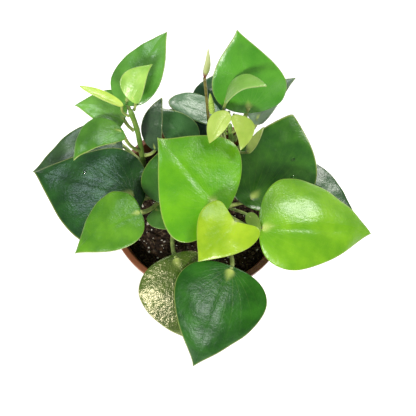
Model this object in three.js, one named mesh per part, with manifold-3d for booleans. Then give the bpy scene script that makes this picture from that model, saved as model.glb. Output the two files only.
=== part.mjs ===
// A potted peperomia: a 12 cm nursery pot, its soil, four fleshy stems, their leaves and one flower stalk.
// Millimetres, +Z up. The origin is the centre of the pot's base, on the surface that the pot stands on.
import * as THREE from "three";
import { mergeVertices } from "three/addons/utils/BufferGeometryUtils.js";
import Module from "manifold-3d";

const wasm = await Module();
wasm.setup();

// Pot
const POT_HEIGHT = 95;
const RIM_RADIUS = 60;
const LIP_WIDTH = 2.4;
const LIP_HEIGHT = 9;
const BASE_RADIUS = 43;
const WALL = 1.6;
const FOOT_RECESS = 2.5;
const FOOT_WIDTH = 5;
const CENTRE_PAD_RADIUS = 12;
const DRAIN_HOLES = 6;
const DRAIN_HOLE_RADIUS = 3.5;
const DRAIN_CIRCLE = 25;

// Soil
const SOIL_DEPTH_BELOW_RIM = 9;
const SOIL_TOP = POT_HEIGHT - SOIL_DEPTH_BELOW_RIM;

// Gap between pieces that touch, and the depth of a stem's foot in the soil
const GAP = 0.35;
const SOCKET_GAP = 0.9;

// Leaves and stalks
const STEM_RADIUS = 1.9;
const STEM_SIDES = 10;
const PETIOLE_SIDES = 6;
const DRIP_ANGLE = 0.9;
const NOTCH_ANGLE = 0.5;

const up = new THREE.Vector3(0, 0, 1);
const radians = THREE.MathUtils.degToRad;
const vector = (xyz) => new THREE.Vector3(...xyz);

const plant = new THREE.Group();
plant.name = "potted_peperomia";

function finish(color, roughness) {
  return new THREE.MeshStandardMaterial({ color, roughness, metalness: 0 });
}

function addPiece(name, geometry, material) {
  const piece = new THREE.Mesh(geometry, material);
  piece.name = name;
  plant.add(piece);
  return piece;
}

// Booleans: a closed geometry to a solid and back.
function toSolid(geometry) {
  const bare = geometry.clone();
  bare.deleteAttribute("normal");
  bare.deleteAttribute("uv");
  const merged = mergeVertices(bare, 1e-4);
  return new wasm.Manifold(new wasm.Mesh({
    numProp: 3,
    vertProperties: new Float32Array(merged.attributes.position.array),
    triVerts: new Uint32Array(merged.index.array),
  }));
}

function toGeometry(solid) {
  const mesh = solid.getMesh();
  const geometry = new THREE.BufferGeometry();
  geometry.setAttribute("position", new THREE.BufferAttribute(mesh.vertProperties, 3));
  geometry.setIndex(new THREE.BufferAttribute(mesh.triVerts, 1));
  geometry.computeVertexNormals();
  return geometry;
}

// A round bar of one radius along a smooth curve.
function bar(curve, radius, sides, steps) {
  const section = new THREE.Shape();
  for (let side = 0; side < sides; side += 1) {
    const turn = (2 * Math.PI * side) / sides;
    const x = radius * Math.cos(turn);
    const y = radius * Math.sin(turn);
    if (side === 0) {
      section.moveTo(x, y);
    } else {
      section.lineTo(x, y);
    }
  }
  section.closePath();
  return new THREE.ExtrudeGeometry(section, { extrudePath: curve, steps, curveSegments: 1 });
}

// ---- Pot: a tapered thin shell with a turned-out lip, a raised floor and a centre pad ----
function potRadius(z) {
  return BASE_RADIUS + ((RIM_RADIUS - LIP_WIDTH - BASE_RADIUS) * z) / POT_HEIGHT;
}

function makePot() {
  const lipFoot = POT_HEIGHT - LIP_HEIGHT;
  const profile = [
    [0, 0],
    [CENTRE_PAD_RADIUS, 0],
    [CENTRE_PAD_RADIUS + 1, FOOT_RECESS],
    [BASE_RADIUS - FOOT_WIDTH - 1, FOOT_RECESS],
    [BASE_RADIUS - FOOT_WIDTH, 0],
    [BASE_RADIUS, 0],
    [potRadius(lipFoot), lipFoot],
    [RIM_RADIUS - 0.6, lipFoot + 1],
    [RIM_RADIUS, POT_HEIGHT - 1],
    [RIM_RADIUS - 0.5, POT_HEIGHT],
    [potRadius(POT_HEIGHT) - WALL + 0.5, POT_HEIGHT],
    [potRadius(POT_HEIGHT) - WALL, POT_HEIGHT - 1],
    [potRadius(FOOT_RECESS + WALL) - WALL, FOOT_RECESS + WALL],
    [0, FOOT_RECESS + WALL],
  ].map(([r, z]) => new THREE.Vector2(r, z));
  const turned = new THREE.LatheGeometry(profile, 40);
  turned.rotateX(Math.PI / 2);
  let shell = toSolid(turned);
  for (let hole = 0; hole < DRAIN_HOLES; hole += 1) {
    const turn = (2 * Math.PI * hole) / DRAIN_HOLES;
    const drill = new THREE.CylinderGeometry(DRAIN_HOLE_RADIUS, DRAIN_HOLE_RADIUS, 20, 12);
    drill.rotateX(Math.PI / 2);
    drill.translate(DRAIN_CIRCLE * Math.cos(turn), DRAIN_CIRCLE * Math.sin(turn), 0);
    shell = shell.subtract(toSolid(drill));
  }
  return toGeometry(shell);
}

addPiece("pot", makePot(), finish(0x7a4028, 0.45));

// ---- Stems: each is a curve through a few points, from its foot in the soil to its growing tip ----
const stems = {
  left: [[-38, 27, 70], [-38, 27, 100], [-36, 23, 150], [-37, 22, 178]],
  right: [[20, 21, 70], [20, 22, 100], [20, 24, 130], [18, 26, 154]],
  front: [[9, -8, 70], [9, -8, 100], [11, -11, 128]],
  middle: [[-17, 4, 70], [-17, 4, 96], [-19, 3, 116]],
};

const stemCurves = {};
for (const [name, points] of Object.entries(stems)) {
  stemCurves[name] = new THREE.CatmullRomCurve3(points.map(vector));
  addPiece(`stem_${name}`, bar(stemCurves[name], STEM_RADIUS, STEM_SIDES, 10), finish(0x8a8a3a, 0.5));
}

// ---- Flower stalk: a thin bare stalk from the soil, with a closed sheath at its tip ----
const STALK_RADIUS = 1.2;
const stalkPoints = [[5, 38, 70], [6.5, 39, 110], [5, 41, 150], [3.5, 42, 178]];
const stalkCurve = new THREE.CatmullRomCurve3(stalkPoints.map(vector));
addPiece("flower_stalk", bar(stalkCurve, STALK_RADIUS, 8, 8), finish(0x6e5a1e, 0.5));

// A spindle: a turned bud whose axis runs from one point to another.
function spindle(from, to, radius) {
  const start = vector(from);
  const axis = vector(to).sub(start);
  const length = axis.length();
  const profile = [];
  for (let step = 0; step <= 8; step += 1) {
    const along = step / 8;
    const width = step === 0 || step === 8 ? 0 : radius * Math.sin(Math.PI * along ** 0.7);
    profile.push(new THREE.Vector2(width, along * length));
  }
  const bud = new THREE.LatheGeometry(profile, 8);
  bud.applyQuaternion(new THREE.Quaternion().setFromUnitVectors(new THREE.Vector3(0, 1, 0), axis.normalize()));
  bud.translate(...from);
  return bud;
}

addPiece("flower_sheath", spindle([3.5, 42.2, 178.4], [5.5, 44, 204], 1.9), finish(0xaab46e, 0.5));

// The small flower spike stands on a short side stalk of the right stem.
const SPIKE_STALK_RADIUS = 0.8;
const spikePoints = [[17, 26.4, 140], [12.5, 32, 142], [9, 35, 147], [8, 36, 153]];
const spikeCurve = new THREE.CatmullRomCurve3(spikePoints.map(vector));
const spikeStalk = toSolid(bar(spikeCurve, SPIKE_STALK_RADIUS, 6, 5));
const spike = spikeStalk.add(toSolid(spindle([8, 36, 150], [6.5, 37, 170], 2)));
addPiece("flower_spike", toGeometry(spike), finish(0xa0b45a, 0.6));

// ---- Soil: fills the pot to just under the lip, with a socket round each stem's foot ----
function makeSoil() {
  const innerAt = (z) => potRadius(z) - WALL - GAP;
  const floor = FOOT_RECESS + WALL + GAP;
  const profile = [
    [0, floor],
    [innerAt(floor) - 0.5, floor],
    [innerAt(SOIL_TOP) - 0.3, SOIL_TOP - 1],
    [innerAt(SOIL_TOP) - 4, SOIL_TOP],
    [0, SOIL_TOP],
  ].map(([r, z]) => new THREE.Vector2(r, z));
  const turned = new THREE.LatheGeometry(profile, 40);
  turned.rotateX(Math.PI / 2);
  let soil = toSolid(turned);
  const sockets = Object.values(stems).map((points) => [points[0], STEM_RADIUS]);
  sockets.push([stalkPoints[0], STALK_RADIUS]);
  for (const [[x, y, z], radius] of sockets) {
    const depth = SOIL_TOP - z + 10;
    const drill = new THREE.CylinderGeometry(radius + SOCKET_GAP, radius + SOCKET_GAP, depth, 12);
    drill.rotateX(Math.PI / 2);
    drill.translate(x, y, z - SOCKET_GAP + depth / 2);
    soil = soil.subtract(toSolid(drill));
  }
  return toGeometry(soil);
}

addPiece("potting_soil", makeSoil(), finish(0x241810, 0.95));

// ---- Leaves ----
// The flat margin of a blade round its junction with the petiole: angle 0 is the tip, half a turn is
// behind the junction. The blade is a teardrop with a drawn-out tip and, on some leaves, a notch behind.
function marginProfile(angle, { point, drip }) {
  const thinning = 1 - drip * Math.exp(-((angle / DRIP_ANGLE) ** 2));
  return Math.sin(angle) * Math.abs(Math.sin(angle / 2)) ** point * thinning;
}

function widestProfile(leaf) {
  let widest = 0;
  for (let step = 1; step < 200; step += 1) {
    widest = Math.max(widest, marginProfile((Math.PI * step) / 200, leaf));
  }
  return widest;
}

function marginPoint(angle, leaf, length) {
  const half = angle >= 0 ? leaf.left : leaf.right;
  const y = (half * marginProfile(angle, leaf)) / widestProfile(leaf);
  const behind = Math.PI - Math.abs(angle);
  const x = -leaf.back + ((length + leaf.back) * (1 + Math.cos(angle))) / 2
    + leaf.notch * Math.exp(-((behind / NOTCH_ANGLE) ** 2)) - leaf.skew * y;
  return [x, y];
}

// The midrib bends evenly through leaf.arch degrees between the junction and the tip: part of a circle.
// The blade bends across it through leaf.cup degrees on each side, and is turned about it by leaf.roll.
function makeBlade(leaf) {
  const junction = vector(leaf.junction);
  const along = vector(leaf.tip).sub(junction);
  const chord = along.length();
  along.normalize();
  const normal = up.clone().addScaledVector(along, -along.z).normalize();
  const side = normal.clone().cross(along);
  const roll = radians(leaf.roll);
  const rolledNormal = normal.clone().multiplyScalar(Math.cos(roll)).addScaledVector(side, Math.sin(roll));
  const rolledSide = side.clone().multiplyScalar(Math.cos(roll)).addScaledVector(normal, -Math.sin(roll));
  const arch = radians(leaf.arch);
  const archRadius = chord / (2 * Math.sin(arch / 2));
  const length = archRadius * arch;
  const halfWidth = (leaf.left + leaf.right) / 2;
  const cup = radians(leaf.cup);

  function place(u, angle, lift) {
    const [flatX, flatY] = marginPoint(angle, leaf, length);
    const x = u * flatX;
    const part = THREE.MathUtils.clamp(x / length, 0, 1);
    const y = u * flatY + leaf.sweep * 4 * part * (1 - part);
    const slope = arch * (0.5 - part);
    let ribX = archRadius * (Math.sin(arch / 2) - Math.sin(slope));
    let ribZ = archRadius * (Math.cos(slope) - Math.cos(arch / 2));
    if (x < 0) {
      ribX = Math.cos(slope) * x;
      ribZ = Math.sin(slope) * x;
    }
    const bend = (cup * Math.abs(y)) / halfWidth;
    const across = (Math.sign(y) * halfWidth * Math.sin(bend)) / cup - lift * Math.sin(bend) * Math.sign(y);
    const rise = (halfWidth * (1 - Math.cos(bend))) / cup + lift * Math.cos(bend);
    return junction.clone()
      .addScaledVector(along, ribX - Math.sin(slope) * rise)
      .addScaledVector(rolledSide, across)
      .addScaledVector(rolledNormal, ribZ + Math.cos(slope) * rise);
  }

  const { rings, spokes, thickness } = leaf;
  const ringPlaces = Array.from({ length: rings }, (_, ring) => ((ring + 1) / rings) ** 0.8);
  const positions = [];
  const faces = [];
  for (const [top, lift] of [[1, 0], [0, -thickness]]) {
    const first = positions.length / 3;
    positions.push(...place(0, 0, lift).toArray());
    for (const [ring, u] of ringPlaces.entries()) {
      const edge = ring === rings - 1 ? 0.3 : 0;
      for (let spoke = 0; spoke < spokes; spoke += 1) {
        const angle = Math.PI - (2 * Math.PI * (spoke + 1)) / spokes;
        positions.push(...place(u, angle, top ? -edge * thickness : lift + edge * thickness).toArray());
      }
    }
    for (let spoke = 0; spoke < spokes; spoke += 1) {
      const next = (spoke + 1) % spokes;
      const fan = [first, first + 1 + next, first + 1 + spoke];
      faces.push(...(top ? fan : fan.reverse()));
      for (let ring = 0; ring < rings - 1; ring += 1) {
        const inner = first + 1 + ring * spokes;
        const outer = inner + spokes;
        const quad = [inner + spoke, inner + next, outer + next, inner + spoke, outer + next, outer + spoke];
        faces.push(...(top ? quad : quad.reverse()));
      }
    }
  }
  const topEdge = 1 + (rings - 1) * spokes;
  const lowEdge = topEdge + 1 + rings * spokes;
  for (let spoke = 0; spoke < spokes; spoke += 1) {
    const next = (spoke + 1) % spokes;
    faces.push(topEdge + spoke, topEdge + next, lowEdge + next);
    faces.push(topEdge + spoke, lowEdge + next, lowEdge + spoke);
  }
  const geometry = new THREE.BufferGeometry();
  geometry.setAttribute("position", new THREE.BufferAttribute(new Float32Array(positions), 3));
  geometry.setIndex(faces);
  const rising = Math.sin(arch / 2);
  const level = Math.cos(arch / 2);
  const ribStart = along.clone().multiplyScalar(level).addScaledVector(rolledNormal, rising);
  const face = rolledNormal.clone().multiplyScalar(level).addScaledVector(along, -rising);
  return { geometry, ribStart, face };
}

// The petiole leaves its stem at leaf.height, outwards and leaf.leave degrees upwards, and comes up to
// the underside of the junction.
function makePetiole(leaf, blade) {
  const stem = stemCurves[leaf.stem];
  const points = stem.getPoints(60);
  const miss = (point) => Math.abs(point.z - leaf.height);
  const anchor = points.reduce((best, point) => (miss(point) < miss(best) ? point : best));
  const end = vector(leaf.junction).addScaledVector(blade.face, -leaf.thickness / 2);
  const out = end.clone().sub(anchor).setZ(0).normalize();
  const start = anchor.clone().addScaledVector(out, STEM_RADIUS + GAP + leaf.petiole * 0.6);
  const leave = radians(leaf.leave);
  const leaving = out.clone().multiplyScalar(Math.cos(leave)).addScaledVector(up, Math.sin(leave));
  const arriving = leaf.rise
    ? vector(leaf.rise).normalize()
    : blade.face.clone().multiplyScalar(0.8).addScaledVector(blade.ribStart, 0.5).normalize();
  const span = start.distanceTo(end);
  const curve = new THREE.CubicBezierCurve3(
    start,
    start.clone().addScaledVector(leaving, 0.4 * span),
    end.clone().addScaledVector(arriving, -0.35 * span),
    end,
  );
  return bar(curve, leaf.petiole, PETIOLE_SIDES, Math.max(3, Math.round(span / 8)));
}

const leafDefaults = {
  back: 3, notch: 0, sweep: 0, skew: 0, point: 1, drip: 0.35, arch: 10, cup: -10, roll: 0, leave: 30,
  rings: 3, spokes: 18, thickness: 1.4, petiole: 1.5,
};

function addLeaf(name, color, values) {
  const leaf = { ...leafDefaults, ...values };
  const blade = makeBlade(leaf);
  const solid = toSolid(blade.geometry).add(toSolid(makePetiole(leaf, blade)));
  addPiece(name, toGeometry(solid), finish(color, 0.35));
}

// Large outer leaves, on long petioles that arch over the rim.
addLeaf("leaf_front_large", 0x1e4b14, {
  stem: "front", height: 92, junction: [19, -53, 122], tip: [-4, -105, 84],
  left: 29, right: 29, back: 4, notch: 2, point: 1.2, arch: 35, cup: -25, roll: 6,
});
addLeaf("leaf_front_left", 0x2c4a1c, {
  stem: "middle", height: 92, junction: [-14, -44, 114], tip: [3, -93, 79],
  left: 21, right: 29, back: 5, notch: 2, arch: 35, cup: -22, roll: 4,
});
addLeaf("leaf_right_large", 0x5f9619, {
  stem: "front", height: 108, junction: [37, -31, 133], tip: [107, -27, 109],
  left: 33, right: 28, back: 4, notch: 2, sweep: 4, point: 0.9, arch: 40, cup: -35, roll: -10,
});
addLeaf("leaf_left_large", 0x234b19, {
  stem: "middle", height: 100, junction: [-42, -4, 117], tip: [-108, 16, 107],
  left: 37, right: 29, back: 8, point: 1.1, arch: 25, cup: -15,
});
addLeaf("leaf_left_front", 0x4b7d23, {
  stem: "middle", height: 110, junction: [-35, -21, 133], tip: [-75, -42, 117],
  left: 18, right: 19, notch: 2, sweep: -4, skew: -0.12, arch: 20, cup: -15,
});
addLeaf("leaf_left_back", 0x2d4632, {
  stem: "left", height: 97, junction: [-56, 39, 105], tip: [-113, 21, 95],
  left: 20, right: 20, back: 4, arch: 15, cup: -10,
});
addLeaf("leaf_right_upright", 0x325f23, {
  stem: "front", height: 98, junction: [34, -1, 105], tip: [60, 49, 124],
  left: 26, right: 28, back: 7, sweep: -5, point: 0.45, cup: 10, roll: -10,
});
addLeaf("leaf_right_low", 0x285032, {
  stem: "right", height: 96, junction: [62, 18, 103], tip: [104, -12, 92],
  left: 15, right: 16, arch: 15, cup: -10,
});

// Centre leaves, high on the front stem.
addLeaf("leaf_centre_large", 0x46910f, {
  stem: "front", height: 122, junction: [9, -20, 145], tip: [-24, 17, 155],
  left: 31, right: 33, back: 9, skew: 0.25, point: 1.1, cup: -8,
});
addLeaf("leaf_centre_heart", 0x82a51e, {
  stem: "front", height: 116, junction: [20, -35, 157], tip: [0, -55, 147], rise: [0, 0, 1],
  left: 16, right: 19, back: 11, notch: 11, skew: 0.12, point: 0.9, arch: 20, cup: -15,
});
addLeaf("leaf_centre_inner", 0x285a19, {
  stem: "middle", height: 112, junction: [-18, -9, 122], tip: [-16, 26, 130],
  left: 19, right: 13, point: 0.5, spokes: 16, rings: 2,
});
addLeaf("leaf_centre_small_heart", 0x416e2d, {
  stem: "middle", height: 98, junction: [-28, -10, 108], tip: [-7, -20, 104],
  left: 9, right: 11, back: 6, notch: 5, point: 0.9, spokes: 16, rings: 2, thickness: 1, petiole: 1,
});
addLeaf("leaf_centre_bud", 0x648232, {
  stem: "front", height: 122, junction: [29.5, -26, 140], tip: [36, -34, 135],
  left: 4, right: 4, back: 2, point: 0.6, spokes: 12, rings: 2, thickness: 1, petiole: 1,
});

// Left shoot.
addLeaf("leaf_left_shoot_tall", 0x46733a, {
  stem: "left", height: 166, junction: [-40, 30, 173], tip: [-17, 64, 190],
  left: 15, right: 14, back: 2, sweep: 2, skew: 0.2, arch: 20, cup: -15,
  spokes: 16, rings: 2, thickness: 1.2, petiole: 1.2,
});
addLeaf("leaf_left_shoot_young", 0x8cb450, {
  stem: "left", height: 174, junction: [-35, 25, 184], tip: [-24, 40, 195],
  left: 8, right: 6, back: 1.5, sweep: 3, point: 1.1, arch: 20, cup: 30,
  spokes: 14, rings: 2, thickness: 1, petiole: 0.9,
});
addLeaf("leaf_left_shoot_back", 0x4b8228, {
  stem: "left", height: 150, junction: [-43, 26, 160], tip: [-72, 35, 160],
  left: 11, right: 15, back: 1.5, notch: 1, sweep: -4, point: 0.9, arch: 20, cup: -15,
  spokes: 16, rings: 2, thickness: 1.2, petiole: 1.2,
});
addLeaf("leaf_left_shoot_front", 0x376919, {
  stem: "left", height: 125, junction: [-43, 15, 167], tip: [-70, 0, 160], leave: 70, rise: [-0.1, 0, 1],
  left: 10, right: 11, back: 2, notch: 1, sweep: -8, point: 0.6, arch: 20, cup: -15,
  spokes: 16, rings: 2, thickness: 1.2, petiole: 1.2,
});
addLeaf("leaf_left_shoot_tip", 0x96b43c, {
  stem: "left", height: 170, junction: [-41, 23, 182], tip: [-62, 28, 193],
  left: 2.5, right: 2.5, back: 1, point: 0.2, arch: 20, cup: 30,
  spokes: 10, rings: 2, thickness: 0.8, petiole: 0.8,
});
addLeaf("leaf_left_shoot_folded", 0x1e3c23, {
  stem: "left", height: 112, junction: [-28, 24, 125], tip: [-22, 43, 155],
  left: 7, right: 6, back: 1.5, sweep: 3, point: 0.5, cup: 20,
  spokes: 14, rings: 2, thickness: 1.2, petiole: 1.2,
});

// Right shoot.
addLeaf("leaf_back_tall", 0x3c7828, {
  stem: "right", height: 132, junction: [29, 35, 157], tip: [21, 62, 195], rise: [0.2, 0.3, 1],
  left: 20, right: 25, back: 4, sweep: -1, skew: -0.25, point: 1.2, cup: -12,
});
addLeaf("leaf_back_right", 0x5a6e5a, {
  stem: "right", height: 116, junction: [36, 39, 137], tip: [59, 60, 150],
  left: 14, right: 6, back: 4, sweep: 2, spokes: 16, rings: 2, thickness: 1.2,
});
addLeaf("leaf_right_shoot_curl", 0x6ea028, {
  stem: "right", height: 150, junction: [15, 30, 176], tip: [37, 32, 186], rise: [0, 0, 1],
  left: 9, right: 7, back: 1.5, sweep: 3, point: 0.6, arch: 100, roll: 20,
  spokes: 16, thickness: 1, petiole: 0.9,
});
addLeaf("leaf_right_shoot_flap_left", 0x96af4b, {
  stem: "right", height: 149, junction: [16, 25, 169], tip: [6, 13, 155], leave: 60,
  left: 6, right: 6, back: 1, sweep: -2, point: 0.5,
  spokes: 14, rings: 2, thickness: 1, petiole: 0.9,
});
addLeaf("leaf_right_shoot_flap_right", 0x96af4b, {
  stem: "right", height: 148, junction: [20.5, 23.5, 168], tip: [24, 9, 154], leave: 60,
  left: 7, right: 5, back: 1, sweep: 4, point: 0.5,
  spokes: 14, rings: 2, thickness: 1, petiole: 0.9,
});
addLeaf("leaf_right_shoot_narrow", 0x6e823c, {
  stem: "right", height: 125, junction: [29, 17, 135], tip: [38, 25, 153],
  left: 2.5, right: 3, back: 1, point: 0.6, cup: 10,
  spokes: 10, rings: 2, thickness: 0.8, petiole: 0.8,
});

// Older leaves low behind the centre.
addLeaf("leaf_back_grey", 0x648269, {
  stem: "right", height: 104, junction: [14, 50, 115], tip: [-20, 57, 127],
  left: 10, right: 10, back: 2, sweep: -3, point: 0.1, drip: 0,
  spokes: 16, rings: 2, thickness: 1.2, petiole: 1.2,
});
addLeaf("leaf_back_dark", 0x23412d, {
  stem: "right", height: 98, junction: [10, 62, 104], tip: [13, 84, 118],
  left: 14, right: 10, back: 2, sweep: 3, point: 0.7, spokes: 16, rings: 2, thickness: 1.2, petiole: 1.2,
});
addLeaf("leaf_back_left", 0x28503c, {
  stem: "middle", height: 107, junction: [-6, 30, 113], tip: [-26, 50, 131],
  left: 10, right: 13, back: 2, point: 0.7, cup: 10, spokes: 16, rings: 2, thickness: 1.2, petiole: 1.2,
});
addLeaf("leaf_back_blue", 0x143c2d, {
  stem: "middle", height: 98, junction: [1, 41, 103], tip: [-21, 58, 114],
  left: 14, right: 13, back: 3, point: 0.4, spokes: 16, rings: 2, thickness: 1.2, petiole: 1.2,
});

export default plant;
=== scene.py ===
"""A potted peperomia: a nursery pot with its soil, four fleshy stems, their leaves and a flower stalk."""
import bpy
import numpy as np
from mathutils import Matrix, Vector


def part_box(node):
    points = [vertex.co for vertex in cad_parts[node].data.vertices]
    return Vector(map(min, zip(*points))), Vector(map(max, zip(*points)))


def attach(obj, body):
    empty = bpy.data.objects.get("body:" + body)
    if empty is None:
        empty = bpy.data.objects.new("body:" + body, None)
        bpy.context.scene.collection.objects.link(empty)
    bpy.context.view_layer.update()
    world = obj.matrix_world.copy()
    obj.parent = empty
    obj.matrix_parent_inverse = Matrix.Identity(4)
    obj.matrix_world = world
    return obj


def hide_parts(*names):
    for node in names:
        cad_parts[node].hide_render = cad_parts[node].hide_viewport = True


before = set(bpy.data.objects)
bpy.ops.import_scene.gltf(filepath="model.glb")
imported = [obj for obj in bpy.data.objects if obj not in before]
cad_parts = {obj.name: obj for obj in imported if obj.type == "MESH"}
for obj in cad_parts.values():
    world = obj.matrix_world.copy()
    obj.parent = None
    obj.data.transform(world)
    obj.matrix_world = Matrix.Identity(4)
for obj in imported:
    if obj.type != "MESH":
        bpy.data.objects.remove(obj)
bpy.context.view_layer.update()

# ---------------------------------------------------------------- view, floor and light
# The plant is seen from high in front. The main lamp stands to the right and behind, a small one in
# front on the left and a cool one behind on the left; the pale floor and sky fill the shadows.
_, POT_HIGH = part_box("pot")
RIM_Z = POT_HIGH[2]
LOOK_AT = Vector((0.0054, -0.0046, RIM_Z))
VIEW_ELEVATION = np.radians(70)
VIEW_DISTANCE = 0.400
SENSOR_WIDTH = 36.0
LENS_LENGTH = 52.6

camera_data = bpy.data.cameras.new("camera")
camera_data.sensor_width = SENSOR_WIDTH
camera_data.lens = LENS_LENGTH
camera_data.clip_start = 0.01
camera = bpy.data.objects.new("camera", camera_data)
back_off = Vector((0.0, -np.cos(VIEW_ELEVATION), np.sin(VIEW_ELEVATION))) * VIEW_DISTANCE
camera.location = LOOK_AT + back_off
camera.rotation_euler = (-back_off).to_track_quat("-Z", "Y").to_euler()
bpy.context.scene.collection.objects.link(camera)
bpy.context.scene.camera = camera


def add_lamp(name, place, size, power, colour):
    """A square area lamp that faces the middle of the rim."""
    data = bpy.data.lights.new(name, "AREA")
    data.size = size
    data.energy = power
    data.color = colour
    lamp = bpy.data.objects.new(name, data)
    lamp.location = place
    lamp.rotation_euler = (LOOK_AT - Vector(place)).to_track_quat("-Z", "Y").to_euler()
    bpy.context.scene.collection.objects.link(lamp)


add_lamp("window_lamp", (0.62, 0.55, 1.00), 0.40, 12.0, (1.0, 0.98, 0.92))
add_lamp("front_lamp", (-0.30, -0.75, 0.70), 0.20, 11.0, (1.0, 0.97, 0.90))
add_lamp("cool_sheet", (-0.42, 0.40, 1.05), 0.32, 3.5, (0.86, 0.93, 1.0))

sky = bpy.data.worlds.new("pale_room")
sky.use_nodes = True
sky.node_tree.nodes["Background"].inputs["Color"].default_value = (1.0, 1.0, 1.0, 1.0)
sky.node_tree.nodes["Background"].inputs["Strength"].default_value = 0.32
bpy.context.scene.world = sky
bpy.context.scene.view_settings.view_transform = "Standard"


def new_material(name):
    """An empty node material and its Principled shader."""
    material = bpy.data.materials.new(name)
    material.use_nodes = True
    nodes, links = material.node_tree.nodes, material.node_tree.links
    return material, nodes, links, nodes["Principled BSDF"]


def make_mesh(name, points, faces, material, smooth=True):
    """One mesh object from an array of points and lists of equal-sided face arrays."""
    mesh = bpy.data.meshes.new(name)
    rows = [row for group in faces for row in np.asarray(group).tolist()]
    mesh.from_pydata(np.asarray(points, dtype=float), [], rows)
    mesh.validate()
    mesh.materials.append(material)
    mesh.polygons.foreach_set("use_smooth", np.full(len(mesh.polygons), smooth))
    mesh.update()
    piece = bpy.data.objects.new(name, mesh)
    bpy.context.scene.collection.objects.link(piece)
    return piece


FLOOR_HALF = 3.0
floor_finish, _, _, floor_shader = new_material("floor_white")
floor_shader.inputs["Base Color"].default_value = (0.90, 0.90, 0.90, 1.0)
floor_shader.inputs["Emission Color"].default_value = (1.0, 1.0, 1.0, 1.0)
floor_shader.inputs["Emission Strength"].default_value = 0.27
floor_shader.inputs["Roughness"].default_value = 0.8
floor_corners = np.array([(-1, -1, 0), (1, -1, 0), (1, 1, 0), (-1, 1, 0)]) * FLOOR_HALF
floor = make_mesh("floor", floor_corners, [[(0, 1, 2, 3)]], floor_finish, smooth=False)


# ---------------------------------------------------------------- shared surface making
def grid_faces(rows, columns, first=0, wrap=True):
    """Quads of a rows x columns grid of points; with wrap the last column joins the first."""
    row, column = np.meshgrid(np.arange(rows - 1), np.arange(columns if wrap else columns - 1), indexing="ij")
    after = (column + 1) % columns
    corners = [row * columns + column, row * columns + after,
               (row + 1) * columns + after, (row + 1) * columns + column]
    return np.stack(corners, axis=-1).reshape(-1, 4) + first


def fan_faces(pole, ring_start, columns, outward=True):
    """Triangles that close one ring of a grid onto a pole."""
    column = np.arange(columns)
    after = (column + 1) % columns
    pair = (ring_start + after, ring_start + column)
    around = pair if outward else pair[::-1]
    return np.stack([np.full(columns, pole), *around], axis=-1)


def smooth_path(points, samples):
    """A rounded path through a few points: Catmull-Rom, with the ends repeated."""
    points = np.asarray(points, dtype=float)
    spans = len(points) - 1
    padded = np.vstack([2 * points[0] - points[1], points, 2 * points[-1] - points[-2]])
    place = np.linspace(0, spans, samples)
    span = np.minimum(place.astype(int), spans - 1)
    t = (place - span)[:, None]
    a, b, c, d = (padded[span + step] for step in range(4))
    return 0.5 * (2 * b + (c - a) * t + (2 * a - 5 * b + 4 * c - d) * t**2 + (3 * b - a - 3 * c + d) * t**3)


def tube(path, radii, sides):
    """A closed round bar: at each point of the path a ring of the given radius, square to the path, with
    the rings turned as little as possible, and a pole at each end. Returns points and faces."""
    heading = np.gradient(path, axis=0)
    heading /= np.linalg.norm(heading, axis=1)[:, None]
    start = np.cross(heading[0], (0.31, 0.95, 0.05))
    sideways = np.empty_like(path)
    current = start / np.linalg.norm(start)
    for step, ahead in enumerate(heading):
        current = current - ahead * (current @ ahead)
        current /= np.linalg.norm(current)
        sideways[step] = current
    upward = np.cross(heading, sideways)
    turn = np.linspace(0, 2 * np.pi, sides, endpoint=False)
    radii = np.asarray(radii, dtype=float)
    radii = np.broadcast_to(radii[:, None] if radii.ndim == 1 else radii, (len(path), sides))
    ring = np.cos(turn)[:, None] * sideways[:, None] + np.sin(turn)[:, None] * upward[:, None]
    rings = path[:, None] + radii[..., None] * ring
    points = np.vstack([rings.reshape(-1, 3), path[0], path[-1]])
    last = len(path) * sides
    faces = [
        grid_faces(len(path), sides),
        fan_faces(last, 0, sides, outward=True),
        fan_faces(last + 1, last - sides, sides, outward=False),
    ]
    return points, faces


def join_shapes(*shapes):
    """Several (points, faces) shapes as one."""
    points = []
    faces = []
    count = 0
    for shape_points, shape_faces in shapes:
        points.append(shape_points)
        faces.extend(np.asarray(group) + count for group in shape_faces)
        count += len(shape_points)
    return np.vstack(points), faces


# ---------------------------------------------------------------- pot
# A moulded nursery pot of thin reddish-brown plastic: a tapered wall, a turned-out lip, a raised floor on
# a foot ring, and drain holes. The shown pot keeps the frame's outline with a rounded lip.
POT_SIDES = 144
LIP_WIDTH = 0.0024
LIP_HEIGHT = 0.009
WALL = 0.0016
BASE_RADIUS = 0.043
FOOT_RECESS = 0.0025
FOOT_WIDTH = 0.005
PAD_RADIUS = 0.012
DRAIN_CIRCLE = 0.025
DRAIN_RADIUS = 0.0035
DRAIN_HOLES = 6
RIM_RADIUS = POT_HIGH[0]
TOP_RADIUS = RIM_RADIUS - LIP_WIDTH


def pot_radius(z):
    """Outside radius of the wall at a height: a straight taper from the base to the top."""
    return BASE_RADIUS + (TOP_RADIUS - BASE_RADIUS) * z / RIM_Z


def rounded(corners, radius, steps=5):
    """A profile with each inner corner replaced by a quadratic arc that starts and ends radius away."""
    corners = np.asarray(corners, dtype=float)
    rows = [corners[:1]]
    for before, corner, after in zip(corners[:-2], corners[1:-1], corners[2:]):
        inward = before - corner
        onward = after - corner
        start = corner + inward * min(radius / np.linalg.norm(inward), 0.45)
        end = corner + onward * min(radius / np.linalg.norm(onward), 0.45)
        t = np.linspace(0, 1, steps)[:, None]
        rows.append((1 - t) ** 2 * start + 2 * t * (1 - t) * corner + t**2 * end)
    rows.append(corners[-1:])
    return np.vstack(rows)


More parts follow.
